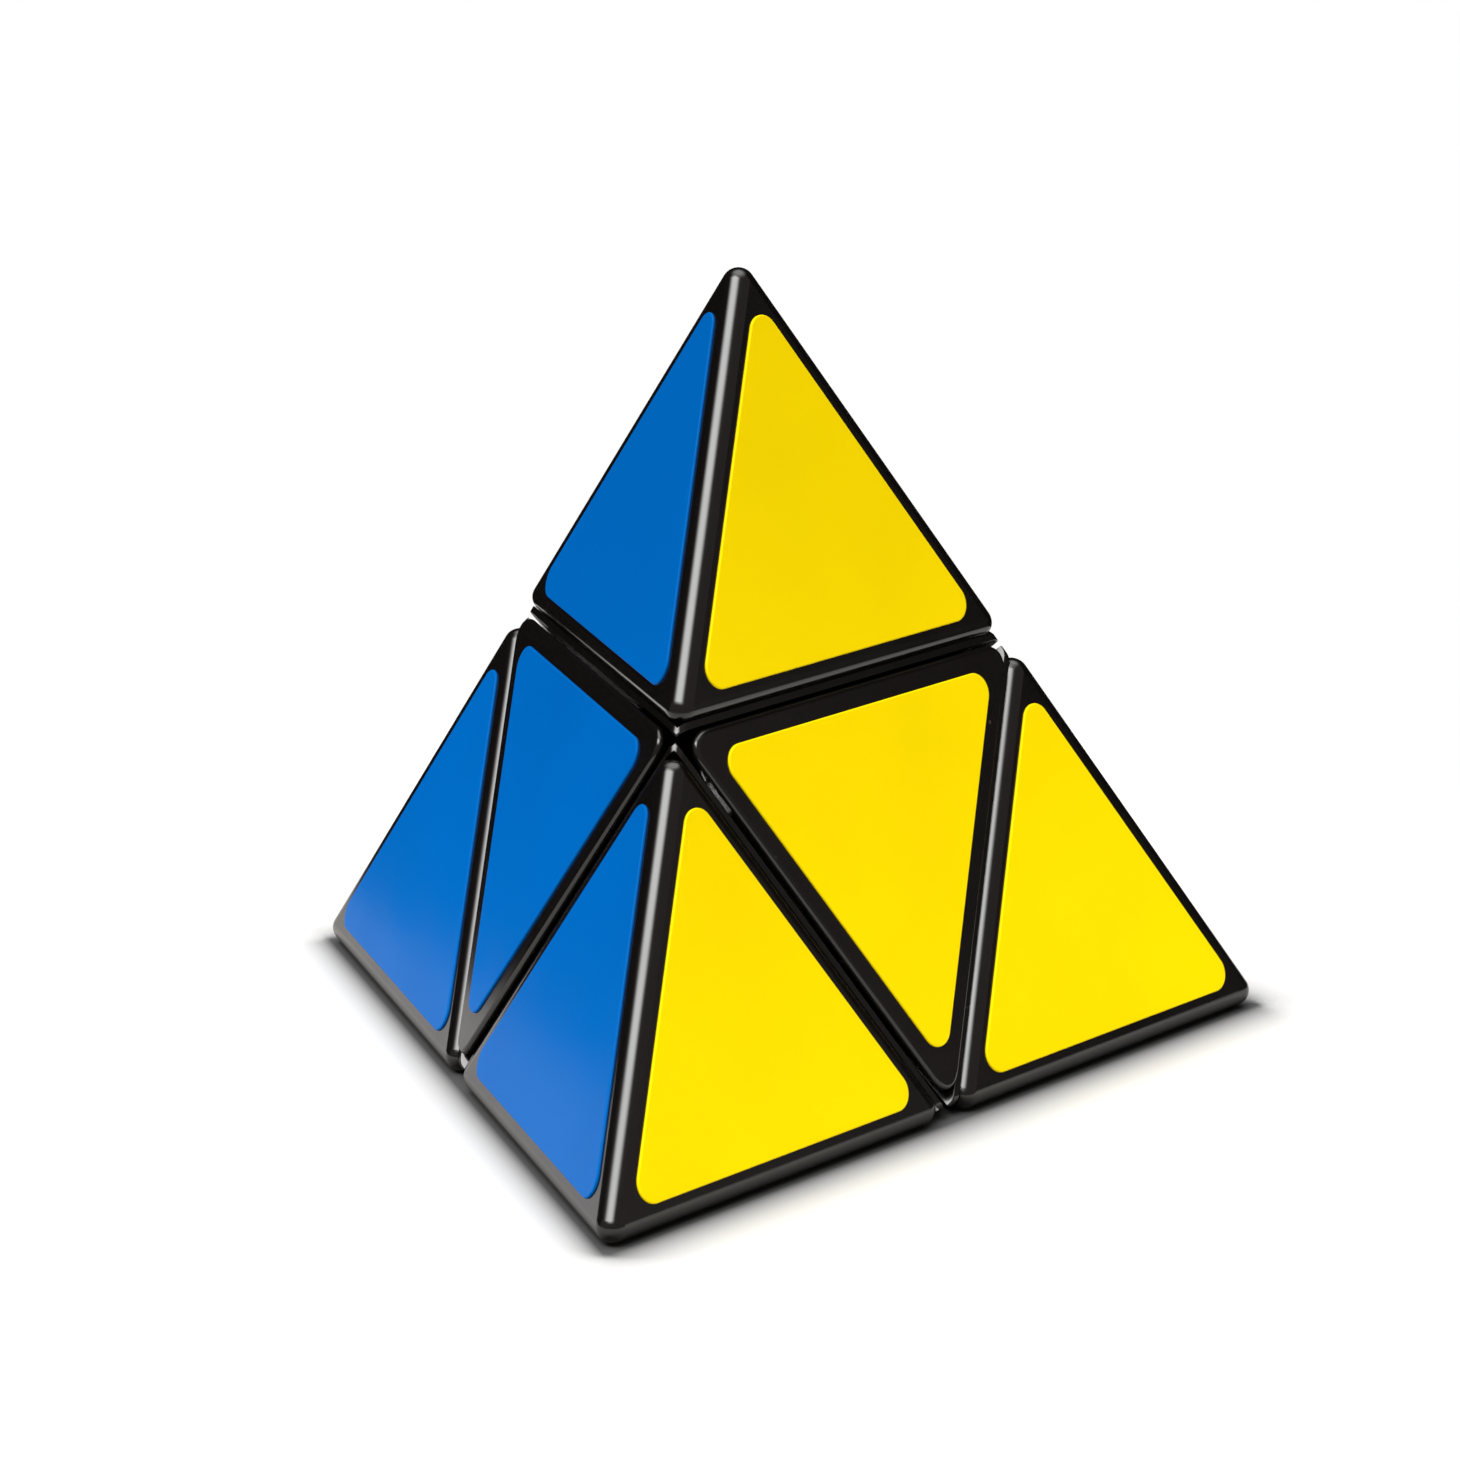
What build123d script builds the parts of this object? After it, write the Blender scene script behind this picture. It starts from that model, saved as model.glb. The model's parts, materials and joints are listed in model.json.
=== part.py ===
"""Pyramid twisty puzzle: a tetrahedron cut in half across three axes at right angles.

Eight outer pieces (four tips and four wedges, one wedge in the middle of each face) turn in
halves of four about the three axes. Each outer piece is a shell with a cap, and each cap has
a foot that reaches into a ball-shaped mechanism of a core, six centres and twelve edge pieces.

The puzzle frame has its origin at the middle of the mechanism and the turning axes as X, Y
and Z. They leave the pyramid through the middles of its three slanted edges. The finished
pieces are then set down on the bottom face, with +Z up and the front corner towards -Y.
"""

from build123d import *
import os
from math import sqrt

# ---- Driving dimensions, mm ---------------------------------------------------------------
EDGE = 80.0                # edge of the pyramid, over the stickers
STICKER_THICKNESS = 0.18
STICKER_CORNER = 1.5       # radius of a sticker's corners
STICKER_ROUND = 0.13       # rounding of a sticker's upper rim
TIP_STICKER_MARGIN = 2.6   # from a sticker's side to the pyramid's edge
TIP_CUT_MARGIN = 1.8       # from a tip's sticker to the cut
WEDGE_STICKER_MARGIN = 2.3 # from a wedge's sticker to the cut, on all three sides

CUT_GAP = 0.15             # from each outer piece to the cut plane beside it
WALL = 1.4                 # wall of a shell
CAP_WALL = 1.3             # wall of a cap
PLAY = 0.05                # between a cap and its own shell

TIP_ROUND = 1.25           # rounding of a tip's shell, on every edge
RIM_THICKNESS = 0.45       # rim of a tip's cap, seen under the shell
RIM_INSET = 0.60           # from the rim to the shell's outer face
RIM_ROUND = 0.12
RIM_END_ROUND = 0.70       # rounding of a rim's three ends, where the pyramid's edges are

WEDGE_SIDE_ROUND = 2.0     # rounding of a wedge's three sides where they meet
WEDGE_FACE_ROUND = 0.35    # rounding round a wedge's face
WEDGE_SKIRT = 4.5          # depth of a wedge's shell below its face
WEDGE_SPIGOT = 1.5         # how far a wedge's cap reaches into the shell

R_SHELL = 13.4             # ball that holds the mechanism
R_TRACK = 10.4             # between the heads and the toes of the inner pieces
R_CORE = 7.6               # the core's ball
HEAD_CUT = 4.8             # cut planes through the heads
TOE_CUT = 3.3              # cut planes through the toes
CLEARANCE = 0.1            # from each inner piece to the surface that it slides along
FLOOR = 1.1                # thickness of a cap's floor, over the ball

SCREW_RADIUS = 1.25
SCREW_START = 3.0          # tip of the screw, from the middle
SCREW_SEAT = 11.9          # underside of the screw's head
HEAD_RADIUS = 2.3
HEAD_HEIGHT = 1.2
HEAD_ROUND = 0.4
RECESS_WIDTH = 0.6
RECESS_LENGTH = 2.6
RECESS_DEPTH = 0.7
THREAD_PLAY = 0.03
WASHER_THICKNESS = 0.5
WASHER_RADIUS = 2.55
POST_RADIUS = 1.7          # round posts carry the turning centres
POST_SQUARE = 3.0          # square posts hold the three fixed centres still
POST_TOP = 9.3
SPRING_SEAT = 9.4
SPRING_WIRE = 0.42
SPRING_RADIUS = 2.25       # to the middle of the wire
SPRING_PITCH = 0.62
POCKET_RADIUS = 2.7        # pocket in a centre, round the spring and the screw's head

REACH = 60.0               # longer than any piece, for blocks that are then cut
PARALLEL = 0.001           # sine of the largest angle that still counts as parallel

# ---- Derived dimensions -------------------------------------------------------------------
HALF_CUBE = EDGE / (2 * sqrt(2))          # centre to the middle of an edge of the pyramid
FACE_DISTANCE = EDGE / (2 * sqrt(6))      # centre to the outer face of a sticker
SHELL_FACE = FACE_DISTANCE - STICKER_THICKNESS
CAP_FACE = SHELL_FACE - WALL - PLAY       # the furthest out that a cap reaches inside a shell
INNER_CUT = CUT_GAP + CAP_WALL            # inner side of the plates beside the cuts
RIM_TOP = CUT_GAP + RIM_THICKNESS         # upper side of a tip's rim

TIPS = {"apex": (1, 1, 1), "front": (1, -1, -1), "right": (-1, 1, -1), "left": (-1, -1, 1)}
WEDGES = {"yellow": (1, 1, -1), "blue": (1, -1, 1), "red": (-1, 1, 1), "green": (-1, -1, -1)}
AXES = {"front": (1, 0, 0), "right": (0, 1, 0), "left": (0, 0, 1)}
SIDE_NAMES = {1: "up", 0: "mid", -1: "low"}

STANDS = (Align.CENTER, Align.CENTER, Align.MIN)    # for what stands on its base along +Z
TIP_OUTWARD = Axis((0, 0, 0), (1, 1, 1))            # from the centre out through a tip

# The turning axes in the standing frame: equal slopes, a third of a turn apart.
AXIS_RISE = 1 / sqrt(3)
AXIS_RUN = sqrt(2 / 3)
X_AXIS = Vector(0, -AXIS_RUN, AXIS_RISE)
Z_AXIS = Vector(-AXIS_RUN * sqrt(3) / 2, AXIS_RUN / 2, AXIS_RISE)
STANDING = Plane(origin=(0, 0, FACE_DISTANCE), x_dir=X_AXIS, z_dir=Z_AXIS).location


# ---- Blocks that the pieces are cut from --------------------------------------------------
def touches(tip, face):
    """True if a tip reaches a face: it does unless they lie opposite each other."""
    return sum(a * b for a, b in zip(tip, face)) == 1


def octant(sign, cut):
    """Everything more than `cut` from the three cut planes, on one side of all of them."""
    corner = Align.MIN if sign > 0 else Align.MAX
    return Pos(sign * cut, sign * cut, sign * cut) * Box(REACH, REACH, REACH, align=(corner,) * 3)


def trimmed(body, face, distance):
    """The part of a body that is nearer the centre than a plane parallel to a face."""
    normal = Vector(*face).normalized()
    return split(body, Plane(origin=normal * distance, z_dir=normal), keep=Keep.BOTTOM)


def tip_block(cut, distance):
    """A tip's sharp outline, with its three outer faces at a distance from the centre."""
    block = octant(1, cut)
    for face in WEDGES.values():
        if touches((1, 1, 1), face):
            block = trimmed(block, face, distance)
    return block


def wedge_block(cut, distance):
    """The sharp outline of the bottom wedge, with its face at a distance from the centre."""
    return trimmed(octant(-1, cut), (-1, -1, -1), distance)


def half_turn(signs):
    """The half turn that takes the first tip or the bottom wedge to the one with these signs."""
    if len(set(signs)) == 1:
        return Location()
    odd = [signs.count(sign) for sign in signs].index(1)
    return Rot(*(180 if axis == odd else 0 for axis in range(3)))


# ---- The ball mechanism -------------------------------------------------------------------
def span(side, side_cut, middle_cut):
    """One axis of a cell: low and high ends on the + side, in the middle or on the - side."""
    if side == 0:
        return -middle_cut + CLEARANCE, middle_cut - CLEARANCE
    near, far = side_cut + CLEARANCE, REACH
    return (near, far) if side > 0 else (-far, -near)


def cell(index, inner, outer, side_cut, middle_cut):
    """One cell of the ball, between two radii and between the cut planes beside it."""
    ends = [span(side, side_cut, middle_cut) for side in index]
    centre = [(low + high) / 2 for low, high in ends]
    block = Pos(*centre) * Box(*(high - low for low, high in ends))
    return block & (Sphere(outer) - Sphere(inner))


def inner_piece(index, outer=R_SHELL - CLEARANCE):
    """A centre, an edge piece or a corner's foot, by its place in the three-layer ball.

    The toe is wider than the stem towards the neighbours, and slides under their heads.
    """
    head = cell(index, R_TRACK + CLEARANCE, outer, HEAD_CUT, HEAD_CUT)
    stem = cell(index, R_CORE + CLEARANCE, outer, HEAD_CUT, TOE_CUT)
    toe = cell(index, R_CORE + CLEARANCE, R_TRACK - CLEARANCE, TOE_CUT, TOE_CUT)
    return head + stem + toe


def along(axis):
    """Places what is modelled along +Z along one of the turning axes."""
    return Plane(origin=(0, 0, 0), x_dir=(axis[1], axis[2], axis[0]), z_dir=axis).location


def rod(radius, bottom, top):
    """A round rod or hole along +Z."""
    return Pos(0, 0, bottom) * Cylinder(radius, top - bottom, align=STANDS)


def square_rod(side, bottom, top):
    """A square rod or hole along +Z."""
    return Pos(0, 0, bottom) * Box(side, side, top - bottom, align=STANDS)


def core():
    """The ball at the middle, with three round posts, three square posts and six screw holes."""
    body = Sphere(R_CORE - CLEARANCE)
    for axis in AXES.values():
        opposite = tuple(-value for value in axis)
        body += along(axis) * rod(POST_RADIUS, SCREW_START, POST_TOP)
        body += along(opposite) * square_rod(POST_SQUARE, SCREW_START, POST_TOP)
        for direction in (axis, opposite):
            body -= along(direction) * rod(SCREW_RADIUS + THREAD_PLAY, SCREW_START, R_SHELL)
    return body


def turning_centre():
    """A centre on a round post, with a pocket for the spring, the washer and the screw."""
    body = inner_piece((0, 0, 1))
    body -= rod(POST_RADIUS + PLAY, R_CORE / 2, R_SHELL)
    return body - rod(POCKET_RADIUS, SPRING_SEAT, R_SHELL)


def fixed_centre():
    """A centre on a square post, screwed down tight."""
    body = inner_piece((0, 0, 1))
    body -= square_rod(POST_SQUARE + 2 * PLAY, R_CORE / 2, SPRING_SEAT)
    body -= rod(SCREW_RADIUS + PLAY, R_CORE / 2, R_SHELL)
    return body - rod(POCKET_RADIUS, SCREW_SEAT, R_SHELL)


def screw():
    """A pan-head screw with a cross recess. Its thread is drawn as a plain shank."""
    top = SCREW_SEAT + HEAD_HEIGHT
    head = rod(HEAD_RADIUS, SCREW_SEAT, top)
    head = fillet(head.edges().sort_by(Axis.Z)[-1], HEAD_ROUND)
    for length, width in ((RECESS_LENGTH, RECESS_WIDTH), (RECESS_WIDTH, RECESS_LENGTH)):
        head -= Pos(0, 0, top) * Box(length, width, 2 * RECESS_DEPTH)
    shank = rod(SCREW_RADIUS, SCREW_START + THREAD_PLAY, SCREW_SEAT)
    return head + shank


def washer():
    """A flat washer between the spring and the screw's head."""
    bottom = SCREW_SEAT - WASHER_THICKNESS
    return rod(WASHER_RADIUS, bottom, SCREW_SEAT) - rod(SCREW_RADIUS + PLAY, 0, R_SHELL)


def spring():
    """A coil spring that presses its centre towards the core."""
    low = SPRING_SEAT + SPRING_WIRE / 2 + PLAY
    high = SCREW_SEAT - WASHER_THICKNESS - SPRING_WIRE / 2 - PLAY
    path = Pos(0, 0, low) * Helix(pitch=SPRING_PITCH, height=high - low, radius=SPRING_RADIUS)
    section = Plane(origin=path @ 0, z_dir=path % 0) * Circle(SPRING_WIRE / 2)
    return sweep(section, path=path)


# ---- Outer pieces -------------------------------------------------------------------------
def runs_along_axis(edge):
    """True for an edge parallel to a turning axis, where two cut planes meet."""
    direction = edge.tangent_at(0.5)
    return any(direction.cross(Vector(*axis)).length < PARALLEL for axis in AXES.values())


def cap_floor_and_foot(sign):
    """The rounded floor of a cap over the ball, and the foot that hangs from it."""
    low = R_SHELL + CLEARANCE
    floor = octant(sign, CUT_GAP) & (Sphere(low + FLOOR) - Sphere(low))
    return floor, inner_piece((sign,) * 3, outer=low + FLOOR / 2)


def tip_shell():
    """The three-sided cover of a tip, rounded on every edge and open towards the centre."""
    block = tip_block(RIM_TOP + PLAY, SHELL_FACE)
    return fillet(block.edges(), TIP_ROUND) - tip_block(-CUT_GAP, SHELL_FACE - WALL)


def tip_cap():
    """The three-sided bottom of a tip: a visible rim, a spigot inside the shell and the foot."""
    rim = tip_block(CUT_GAP, SHELL_FACE - RIM_INSET)
    ridges = rim.edges().group_by(TIP_OUTWARD)[-1]
    rim = fillet(ridges, RIM_END_ROUND)
    lips = rim.edges().filter_by(GeomType.LINE).group_by(TIP_OUTWARD)[1]
    rim = fillet(lips, RIM_ROUND) - octant(1, RIM_TOP)
    plates = tip_block(CUT_GAP + RIM_THICKNESS / 2, CAP_FACE) - octant(1, INNER_CUT)
    floor, foot = cap_floor_and_foot(1)
    return (rim + plates - Sphere(R_SHELL + CLEARANCE)) + floor + foot


def rounded_wedge():
    """The bottom wedge's outline, with its sides and the rim of its face rounded."""
    block = wedge_block(CUT_GAP, SHELL_FACE)
    sides = [edge for edge in block.edges() if runs_along_axis(edge)]
    block = fillet(sides, WEDGE_SIDE_ROUND)
    outward = Vector(-1, -1, -1)
    face = max(block.faces(), key=lambda candidate: candidate.center().dot(outward))
    return fillet(face.edges(), WEDGE_FACE_ROUND)


def wedge_shell():
    """The triangular cover of a wedge, with a skirt down each side."""
    skirt_bottom = SHELL_FACE - WEDGE_SKIRT
    hollow = wedge_block(CUT_GAP + WALL, SHELL_FACE - WALL) + Sphere(R_SHELL + CLEARANCE)
    return rounded_wedge() - hollow - trimmed(octant(-1, 0), (-1, -1, -1), skirt_bottom)


def wedge_cap():
    """The bottom of a wedge: side plates below the skirt, a spigot inside it, and the foot."""
    skirt_bottom = SHELL_FACE - WEDGE_SKIRT - PLAY
    inside_skirt = CUT_GAP + WALL + PLAY
    below = trimmed(rounded_wedge(), (-1, -1, -1), skirt_bottom)
    plates = below - octant(-1, INNER_CUT)
    spigot = wedge_block(inside_skirt, skirt_bottom + WEDGE_SPIGOT)
    spigot -= octant(-1, inside_skirt + CAP_WALL)
    floor, foot = cap_floor_and_foot(-1)
    floor = (floor & wedge_block(inside_skirt, CAP_FACE)) + (floor & below)
    return (plates + spigot - Sphere(R_SHELL + CLEARANCE)) + floor + foot


# ---- Stickers -----------------------------------------------------------------------------
def inset_triangle(corners, margins):
    """A triangle's corners after each side moves in by the margin of the corner opposite it."""
    first, second, third = corners
    double_area = (second - first).cross(third - first).length
    sides = (third - second, first - third, second - first)
    shares = [margin * side.length / double_area for margin, side in zip(margins, sides)]
    slack = 1 - sum(shares)
    middle = first * shares[0] + second * shares[1] + third * shares[2]
    return [middle + corner * slack for corner in corners]


def sticker(corners, margins, face):
    """A thin vinyl triangle on a shell's face, with rounded corners and a soft upper rim."""
    normal = Vector(*face).normalized()
    lowered = [corner - normal * STICKER_THICKNESS for corner in inset_triangle(corners, margins)]
    outline = Face(Wire.make_polygon(lowered))
    outline = outline.fillet_2d(STICKER_CORNER, outline.vertices())
    body = Solid.extrude(outline, normal * STICKER_THICKNESS)
    top = max(body.faces(), key=lambda candidate: candidate.center().dot(normal))
    return body.fillet(STICKER_ROUND, top.edges())


def axis_points(face):
    """The middles of the three pyramid edges round a face."""
    return [Vector(*(HALF_CUBE * face[k] if k == axis else 0 for k in range(3))) for axis in range(3)]


def tip_sticker(tip, face):
    """The sticker of one tip on one face."""
    corner = Vector(*tip) * HALF_CUBE
    near = [point for point in axis_points(face) if point.dot(corner) > 0]
    margins = (TIP_CUT_MARGIN, TIP_STICKER_MARGIN, TIP_STICKER_MARGIN)
    return sticker([corner, *near], margins, face)


def wedge_sticker(face):
    """The sticker in the middle of a face."""
    return sticker(axis_points(face), (WEDGE_STICKER_MARGIN,) * 3, face)


# ---- The assembly -------------------------------------------------------------------------
def mechanism_nodes():
    """The core, the centres with their screws, springs and washers, and the edge pieces."""
    nodes = {"core": core()}
    screws = []
    turning, fixed = turning_centre(), fixed_centre()
    for name, axis in AXES.items():
        opposite = tuple(-value for value in axis)
        nodes[f"centre_{name}"] = along(axis) * turning
        nodes[f"centre_fixed_{name}"] = along(opposite) * fixed
        nodes[f"spring_{name}"] = along(axis) * spring()
        nodes[f"washer_{name}"] = along(axis) * washer()
        screws += [along(direction) * screw() for direction in (axis, opposite)]
    nodes["screws"] = Compound([body.solid() for body in screws])
    for index in edge_places():
        nodes["edge_" + "_".join(SIDE_NAMES[side] for side in index)] = inner_piece(index)
    return nodes


def edge_places():
    """The twelve places in the ball that have one middle index."""
    sides = (1, 0, -1)
    places = [(x, y, z) for x in sides for y in sides for z in sides]
    return [place for place in places if place.count(0) == 1]


def outer_nodes():
    """The tips and wedges, each as a shell, a cap and its stickers."""
    nodes = {}
    shell, cap = tip_shell(), tip_cap()
    for name, tip in TIPS.items():
        nodes[f"shell_tip_{name}"] = half_turn(tip) * shell
        nodes[f"cap_tip_{name}"] = half_turn(tip) * cap
        for colour, face in WEDGES.items():
            if touches(tip, face):
                nodes[f"sticker_{colour}_{name}"] = tip_sticker(tip, face)
    shell, cap = wedge_shell(), wedge_cap()
    for colour, face in WEDGES.items():
        nodes[f"shell_wedge_{colour}"] = half_turn(face) * shell
        nodes[f"cap_wedge_{colour}"] = half_turn(face) * cap
        nodes[f"sticker_{colour}_middle"] = wedge_sticker(face)
    return nodes


def main():
    os.makedirs("parts", exist_ok=True)
    for name, body in {**mechanism_nodes(), **outer_nodes()}.items():
        export_step(STANDING * body, f"parts/{name}.step")


main()
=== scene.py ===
"""Materials, light and camera for the pyramid twisty puzzle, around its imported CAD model.

Lengths are in metres, in the model's own frame: origin at the middle of the bottom face, +Z up,
front corner towards -Y, the yellow face on the right and the blue one on the left.
"""

import json
import math

import bpy
from mathutils import Matrix, Vector

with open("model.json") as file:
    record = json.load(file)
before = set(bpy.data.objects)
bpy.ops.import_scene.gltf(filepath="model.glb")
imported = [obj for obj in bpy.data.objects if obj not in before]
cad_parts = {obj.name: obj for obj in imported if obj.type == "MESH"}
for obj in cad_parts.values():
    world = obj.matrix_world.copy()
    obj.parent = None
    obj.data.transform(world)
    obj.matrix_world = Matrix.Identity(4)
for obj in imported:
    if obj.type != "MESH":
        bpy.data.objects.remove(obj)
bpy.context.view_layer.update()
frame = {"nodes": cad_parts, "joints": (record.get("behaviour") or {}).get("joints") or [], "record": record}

# ---- Sizes that everything else is worked out from ---------------------------------------------
CENTRE = Vector(frame["joints"][0]["pos_m"])     # where the turning axes cross
EDGE = CENTRE.z * 2 * math.sqrt(6)               # edge of the pyramid
HEIGHT = EDGE * math.sqrt(2 / 3)

FACES = {
    "yellow": Vector((math.sqrt(2 / 3), -math.sqrt(2) / 3, 1 / 3)),
    "blue": Vector((-math.sqrt(2 / 3), -math.sqrt(2) / 3, 1 / 3)),
    "red": Vector((0, 2 * math.sqrt(2) / 3, 1 / 3)),
    "green": Vector((0, 0, -1)),
}

# ---- Camera ------------------------------------------------------------------------------------
CAMERA_AZIMUTH = math.radians(11.49)
CAMERA_ELEVATION = math.radians(15.72)
CAMERA_ROLL = math.radians(0.48)
CAMERA_DISTANCE = 5.63 * EDGE
CAMERA_AIM = Vector((0, 0, 0.4 * HEIGHT))
CAMERA_ASIDE = -0.0043 * EDGE
CAMERA_RAISE = 0.0027 * EDGE
CAMERA_CLIP = (0.1, 20)                 # nearest and furthest that it sees, in camera distances
SENSOR = 36.0                           # millimetres, as is the lens
LENS = 145.34

# ---- Light: where it comes from, half widths as sines, and radiance ----------------------------
KEY = {"direction": (-0.205, -0.568, 0.797), "widths": (0.40, 0.24), "radiance": 12.8}
OVERHEAD = {"direction": (0.0, 0.10, 1.0), "widths": (0.45, 0.42), "radiance": 4.0}
LIGHT_SOFTNESS = 0.55                   # how far each side of its rim a light fades, in half widths
ROOM_COLOUR = (1.0, 0.90, 0.84, 1)
ROOM_FRONT = 0.30                       # radiance of the half of the room in front of the puzzle
ROOM_BACK = 0.01                        # and of the half behind it
ROOM_EDGE = math.radians(17.3)          # where the lighter front of the room ends, from +X to +Y
ROOM_SOFTNESS = 0.06                    # sine of how far the change from front to back reaches
WHITE = (1.0, 1.0, 1.0, 1)

# ---- Floor, and the soft shadow that is drawn on it --------------------------------------------
FLOOR_RADIUS = 0.10
FLOOR_SIDES = 96
FLOOR_GAP = 0.00002                     # from the floor to the stickers above it
FLOOR_ROUGHNESS = 0.9
SHADE_START = 0.0222                    # from the middle to where the contact shadow starts to fade
SHADE_WIDTHS = {"yellow": 0.0107, "red": 0.014, "blue": 0.0062}     # from there to where it ends
SHADE_DEPTH = 0.88                      # how much of the floor's white it takes away at most
SHADE_POWER = 3.0                       # how quickly it fades outwards
SHADE_REACH = 0.020                     # no contact shadow further than this from the puzzle
SHADE_SKY = (0.985, 0.87)               # share of open sky where that shadow is absent and full

# ---- Colours, linear ---------------------------------------------------------------------------
BLACK = (0.0032, 0.0026, 0.0024)
DUST = (0.03, 0.027, 0.024)
INNER_BLACK = (0.012, 0.012, 0.013)
IVORY = (0.55, 0.54, 0.50)
STEEL = (0.62, 0.61, 0.60)
VINYL = {
    "yellow": (0.81, 0.60, 0.001),
    "blue": (0.0, 0.094, 0.355),
    "red": (0.58, 0.008, 0.008),
    "green": (0.0, 0.26, 0.045),
}
FLOOR_SEEN = (0.60, 0.60, 0.60)         # as the camera sees it, just short of glare
FLOOR_LIGHTING = (0.95, 0.95, 0.95)     # as it lights the puzzle
FLOOR_MIRRORED = (0.62, 0.60, 0.58)     # as the puzzle reflects it

# ---- Surfaces ----------------------------------------------------------------------------------
VINYL_IOR = 1.08                        # low, for the weak reflections that the photo shows
VINYL_SHADED_SIDE = (0.35, 0.85)               # cosines to the face where the cut sides' painted shade is still full and already gone
DUST_SPECKS = (0.79, 0.83)              # noise where a speck of dust starts and where it is full
NOISE_MIDDLE = (0.3, 0.7)               # between these lies most of a noise


# ---- Node helpers ------------------------------------------------------------------------------
def opaque(colour, share=1.0):
    """A colour, or a share of it, with full alpha."""
    return (*(value * share for value in colour), 1)


class Nodes:
    """A node tree with short ways to add nodes to it."""

    def __init__(self, tree):
        self.tree = tree

    def link(self, value, socket):
        """Gives a socket a value, or links another node's output to it."""
        if isinstance(value, bpy.types.NodeSocket):
            self.tree.links.new(value, socket)
        else:
            socket.default_value = value

    def add(self, kind, sockets=None, **values):
        """A new node. Its settings are passed by name and its sockets in a dictionary."""
        node = self.tree.nodes.new(kind)
        for name, value in values.items():
            setattr(node, name, value)
        for socket, value in (sockets or {}).items():
            self.link(value, node.inputs[socket])
        return node

    def math(self, operation, first, second, **values):
        """A sum on two numbers."""
        links = {0: first, 1: second}
        return self.add("ShaderNodeMath", links, operation=operation, **values).outputs["Value"]

    def vector(self, operation, first, second=None):
        """A sum on vectors that gives a vector, or a number for a length or a dot product."""
        links = {0: first} if second is None else {0: first, 1: second}
        node = self.add("ShaderNodeVectorMath", links, operation=operation)
        return node.outputs["Value" if operation in ("LENGTH", "DOT_PRODUCT") else "Vector"]

    def step(self, value, start, end, low, high):
        """Goes softly from low to high as a value goes from start to end."""
        links = {"Value": value, "From Min": start, "From Max": end, "To Min": low, "To Max": high}
        node = self.add("ShaderNodeMapRange", links, interpolation_type="SMOOTHSTEP")
        return node.outputs["Result"]


class Paint(Nodes):
    """A procedural material in the making."""

    def __init__(self, name, colour, roughness, **sockets):
        self.material = bpy.data.materials.new(name)
        self.material.use_nodes = True
        self.material.diffuse_color = opaque(colour)
        super().__init__(self.material.node_tree)
        self.shader = self.tree.nodes["Principled BSDF"]
        self.colour = colour
        self.roughness = roughness
        self.normal = None
        self.set("Base Color", opaque(colour))
        self.set("Roughness", roughness)
        for socket, value in sockets.items():
            self.set(socket, value)
        self.place = self.add("ShaderNodeTexCoord").outputs["Object"]

    def set(self, socket, value):
        """Sets a socket of the shader, or links another node's output to it."""
        self.link(value, self.shader.inputs[socket])

    def noise(self, size, detail):
        """Noise from 0 to 1 with features of about that size."""
        links = {"Vector": self.place, "Scale": 1 / size, "Detail": detail}
        return self.add("ShaderNodeTexNoise", links).outputs["Fac"]

    def spread(self, noise, low, high):
        """Spreads the middle of a noise over a range."""
        return self.step(noise, *NOISE_MIDDLE, low, high)

    def mix(self, share, first, second):
        """A colour between two others."""
        links = {0: share, 6: first, 7: second}
        return self.add("ShaderNodeMix", links, data_type="RGBA").outputs[2]

    def patches(self, share, size, detail):
        """The colour, with patches of about that size where only a share of it is left."""
        amount = self.spread(self.noise(size, detail), 0, 1)
        return self.mix(amount, opaque(self.colour), opaque(self.colour, share))

    def vary_roughness(self, down, up, size):
        """Lets the roughness stray from its usual value, in patches of about that size."""
        noise = self.noise(size, detail=3)
        self.set("Roughness", self.spread(noise, self.roughness - down, self.roughness + up))

    def relief(self, size, detail, height, strength):
        """Adds relief with features of about that size, over the relief that is already there."""
        links = {"Height": self.noise(size, detail), "Distance": height, "Strength": strength}
        if self.normal is not None:
            links["Normal"] = self.normal
        self.normal = self.add("ShaderNodeBump", links).outputs["Normal"]
        self.set("Normal", self.normal)


# ---- Materials, with sizes and heights in metres -----------------------------------------------
def glossy_black():
    """Moulded black plastic: glossy, a little uneven, with the odd speck of dust."""
    paint = Paint("glossy_black_plastic", BLACK, roughness=0.15)
    paint.vary_roughness(down=0.02, up=0.04, size=0.006)
    specks = paint.step(paint.noise(size=0.0009, detail=1), *DUST_SPECKS, 0, 1)
    paint.set("Base Color", paint.mix(specks, opaque(BLACK), opaque(DUST)))
    paint.relief(size=0.009, detail=1, height=0.00007, strength=0.5)
    return paint.material


def vinyl(name):
    """Glossy sticker vinyl, a little wavy on its face, with painted shade on its cut sides, which take a
    darker copy of its colour.
    """
    paint = Paint(f"sticker_vinyl_{name}", VINYL[name], roughness=0.16, IOR=VINYL_IOR)
    paint.vary_roughness(down=0.03, up=0.04, size=0.010)
    normal = paint.add("ShaderNodeTexCoord").outputs["Normal"]
    side = paint.step(paint.vector("DOT_PRODUCT", normal, FACES[name]), *VINYL_SHADED_SIDE, 1, 0)
    face = paint.patches(share=0.94, size=0.02, detail=2)
    # painted shade: the cut sides get 0.8 of the sticker's colour, so their rims stay darker than the face
    paint.set("Base Color", paint.mix(side, face, opaque(VINYL[name], share=0.8)))
    paint.relief(size=0.016, detail=1, height=0.00015, strength=0.5)
    paint.relief(size=0.0005, detail=2, height=0.000003, strength=0.4)
    return paint.material


def moulded(name, colour, roughness):
    """Plain moulded plastic for the mechanism: satin, with a fine eroded texture."""
    paint = Paint(name, colour, roughness)
    paint.vary_roughness(down=0.06, up=0.08, size=0.003)
    paint.set("Base Color", paint.patches(share=0.85, size=0.004, detail=2))
    paint.relief(size=0.0003, detail=2, height=0.00001, strength=0.4)
    return paint.material


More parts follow.
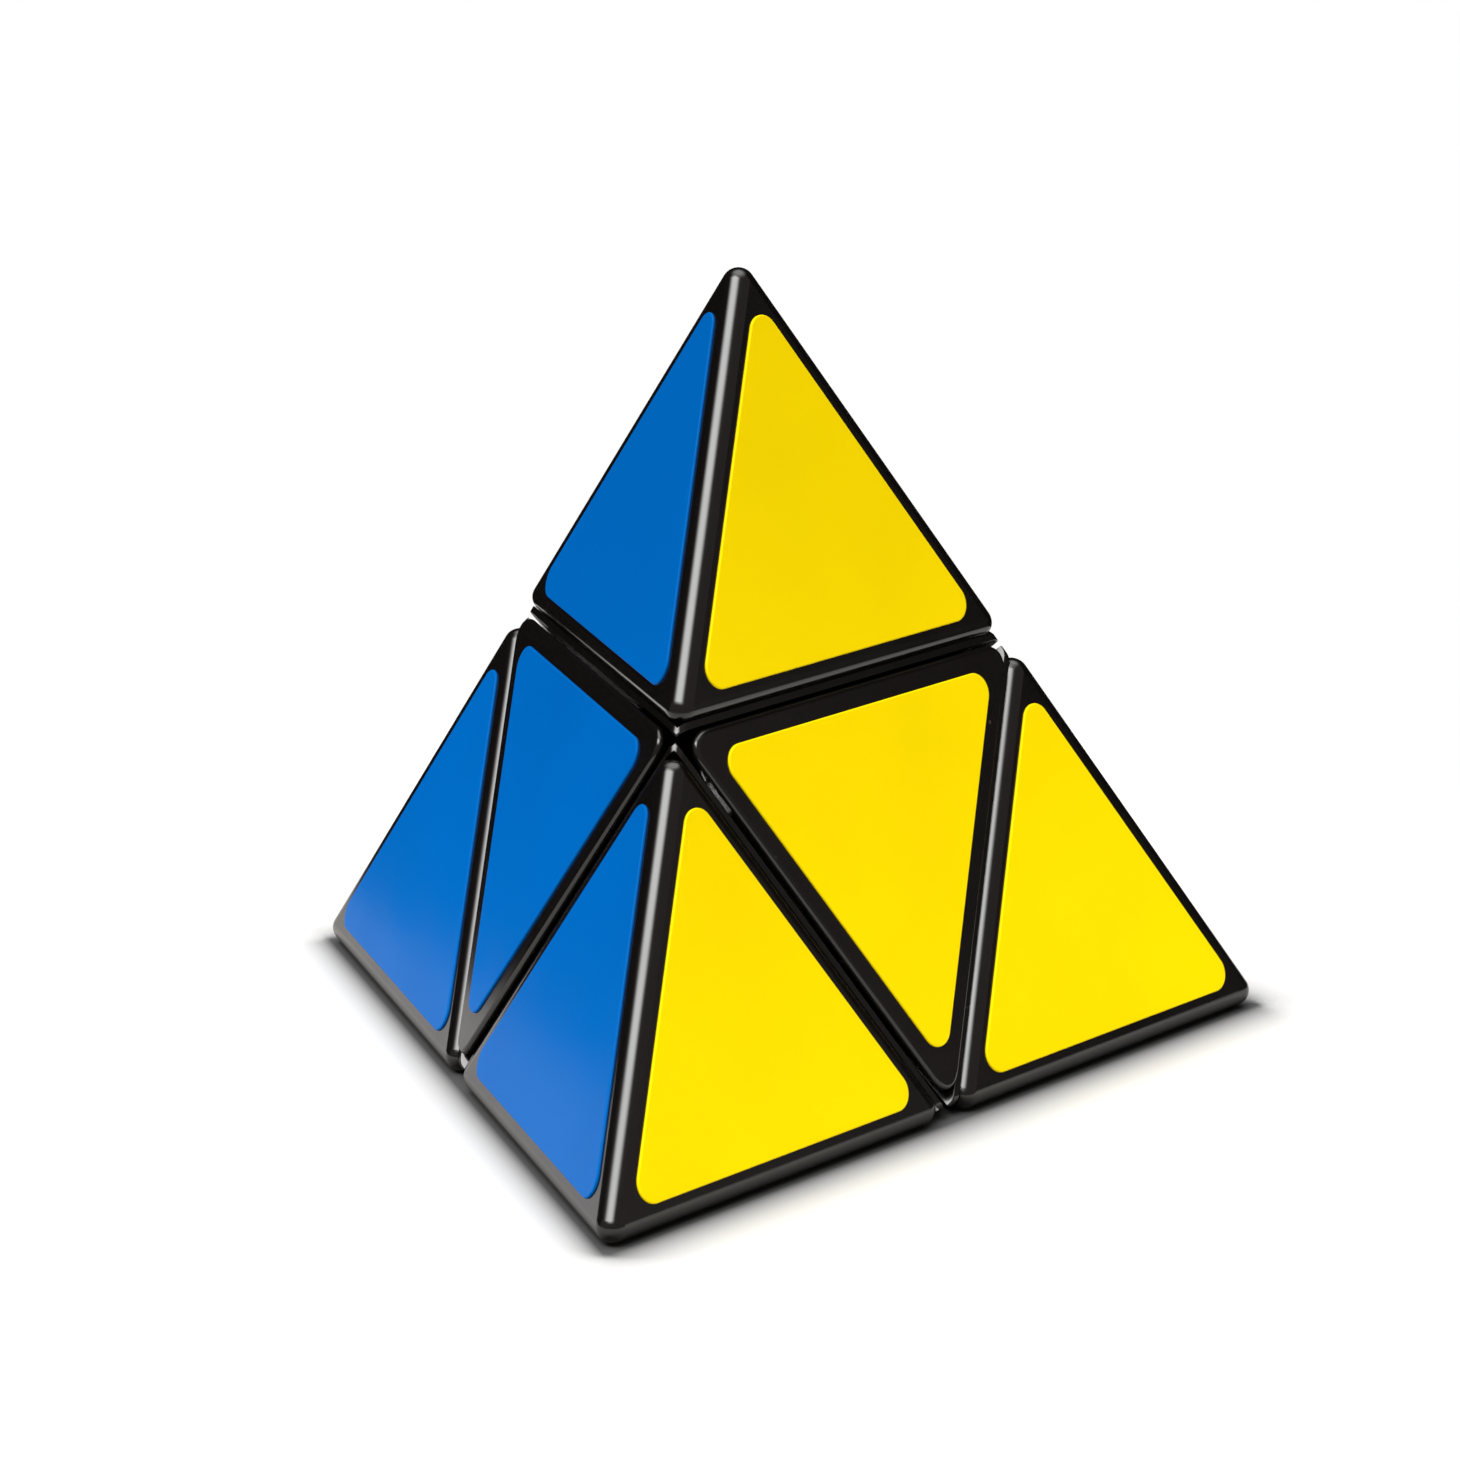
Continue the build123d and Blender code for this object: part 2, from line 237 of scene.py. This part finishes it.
def plated_steel():
    """Zinc-plated steel of the screws, springs and washers, slightly blotched and grained."""
    paint = Paint("plated_steel", STEEL, roughness=0.28, Metallic=1.0)
    paint.vary_roughness(down=0.06, up=0.10, size=0.0008)
    paint.set("Base Color", paint.patches(share=0.8, size=0.0015, detail=3))
    paint.relief(size=0.0002, detail=2, height=0.000008, strength=0.4)
    return paint.material


# ---- What each node is made of -----------------------------------------------------------------
def dress_nodes():
    """Gives each CAD node the material of its slot in the record."""
    made = {
        "black_plastic": glossy_black(),
        "mechanism_plastic": moulded("mechanism_plastic", INNER_BLACK, roughness=0.38),
        "core_plastic": moulded("core_plastic", IVORY, roughness=0.40),
        "steel": plated_steel(),
    }
    made.update({f"sticker_{name}": vinyl(name) for name in VINYL})
    for part in frame["record"]["subparts"]:
        for slot in frame["nodes"][part["node"]].material_slots:
            slot.material = made[part["material_slot"]]


# ---- Studio ------------------------------------------------------------------------------------
def contact_shade(paint):
    """How dark the floor is: darkest along the puzzle's sides, and only where something is near."""
    beyond = []
    for name, width in SHADE_WIDTHS.items():
        outwards = Vector((*FACES[name].xy.normalized(), 0)) / width
        reach = paint.vector("DOT_PRODUCT", paint.place, outwards)
        past = paint.math("SUBTRACT", reach, SHADE_START / width)
        beyond.append(paint.math("MAXIMUM", past, 0.0))
    away = paint.add("ShaderNodeCombineXYZ", dict(enumerate(beyond))).outputs["Vector"]
    near = paint.math("SUBTRACT", 1.0, paint.vector("LENGTH", away), use_clamp=True)
    open_sky = paint.add("ShaderNodeAmbientOcclusion", {"Distance": SHADE_REACH}).outputs["AO"]
    cover = paint.step(open_sky, *SHADE_SKY, 0, SHADE_DEPTH)
    return paint.math("MULTIPLY", paint.math("POWER", near, SHADE_POWER), cover)


def floor():
    """A pale floor just under the puzzle, with a soft shadow where the puzzle touches it."""
    bpy.ops.mesh.primitive_circle_add(
        vertices=FLOOR_SIDES, radius=FLOOR_RADIUS, fill_type="NGON", location=(0, 0, -FLOOR_GAP)
    )
    disc = bpy.context.object
    disc.name = "floor"
    paint = Paint("matt_white", FLOOR_SEEN, FLOOR_ROUGHNESS, **{"Specular IOR Level": 0.0})
    shade = contact_shade(paint)
    ray = paint.add("ShaderNodeLightPath").outputs
    white = paint.mix(ray["Is Camera Ray"], opaque(FLOOR_LIGHTING), opaque(FLOOR_SEEN))
    white = paint.mix(ray["Is Glossy Ray"], white, opaque(FLOOR_MIRRORED))
    paint.set("Base Color", paint.mix(shade, white, (0, 0, 0, 1)))
    disc.data.materials.append(paint.material)


def softbox(sky, towards, direction, widths, radiance):
    """The radiance of an oval light that fades out at its rim, as seen towards a direction."""
    turn = Vector(direction).to_track_quat("Z", "Y").to_euler()
    links = {"Vector": towards, "Rotation": turn, "Scale": (*widths, 1)}
    turned = sky.add("ShaderNodeMapping", links, vector_type="TEXTURE").outputs["Vector"]
    off = sky.vector("LENGTH", sky.vector("MULTIPLY", turned, (1, 1, 0)))
    glow = sky.step(off, 1 + LIGHT_SOFTNESS, 1 - LIGHT_SOFTNESS, 0, radiance)
    ahead = sky.vector("DOT_PRODUCT", towards, Vector(direction))
    return sky.math("MULTIPLY", glow, sky.math("GREATER_THAN", ahead, 0.0))


def room():
    """Two soft lights in a room that is dim behind, and plain white where the camera sees it."""
    world = bpy.data.worlds.new("studio")
    world.use_nodes = True
    bpy.context.scene.world = world
    sky = Nodes(world.node_tree)
    towards = sky.add("ShaderNodeTexCoord").outputs["Generated"]
    front = sky.vector("DOT_PRODUCT", towards, (math.sin(ROOM_EDGE), -math.cos(ROOM_EDGE), 0))
    walls = sky.step(front, -ROOM_SOFTNESS, ROOM_SOFTNESS, ROOM_BACK, ROOM_FRONT)
    lights = sky.math("ADD", softbox(sky, towards, **KEY), softbox(sky, towards, **OVERHEAD))

    def glow(colour, strength):
        return sky.add("ShaderNodeBackground", {"Color": colour, "Strength": strength}).outputs[0]

    links = {0: glow(ROOM_COLOUR, walls), 1: glow(WHITE, lights)}
    lit = sky.add("ShaderNodeAddShader", links).outputs[0]
    seen = sky.add("ShaderNodeLightPath").outputs["Is Camera Ray"]
    choice = sky.add("ShaderNodeMixShader", {0: seen, 1: lit, 2: glow(WHITE, 1.0)}).outputs[0]
    sky.link(choice, sky.tree.nodes["World Output"].inputs["Surface"])


def camera():
    """The camera, a long lens from the front and a little to the right."""
    back = Vector((
        math.sin(CAMERA_AZIMUTH) * math.cos(CAMERA_ELEVATION),
        -math.cos(CAMERA_AZIMUTH) * math.cos(CAMERA_ELEVATION),
        math.sin(CAMERA_ELEVATION),
    ))
    right = Vector((0, 0, 1)).cross(back).normalized()
    up = back.cross(right)
    place = CAMERA_AIM + back * CAMERA_DISTANCE + right * CAMERA_ASIDE + up * CAMERA_RAISE
    upright = Matrix((right, up, back)).transposed().to_4x4()
    data = bpy.data.cameras.new("camera")
    data.sensor_width = SENSOR
    data.lens = LENS
    data.clip_start, data.clip_end = (share * CAMERA_DISTANCE for share in CAMERA_CLIP)
    body = bpy.data.objects.new("camera", data)
    body.matrix_world = Matrix.Translation(place) @ upright @ Matrix.Rotation(CAMERA_ROLL, 4, "Z")
    bpy.context.scene.collection.objects.link(body)
    bpy.context.scene.camera = body


dress_nodes()
floor()
room()
camera()
bpy.context.scene.view_settings.view_transform = "Standard"
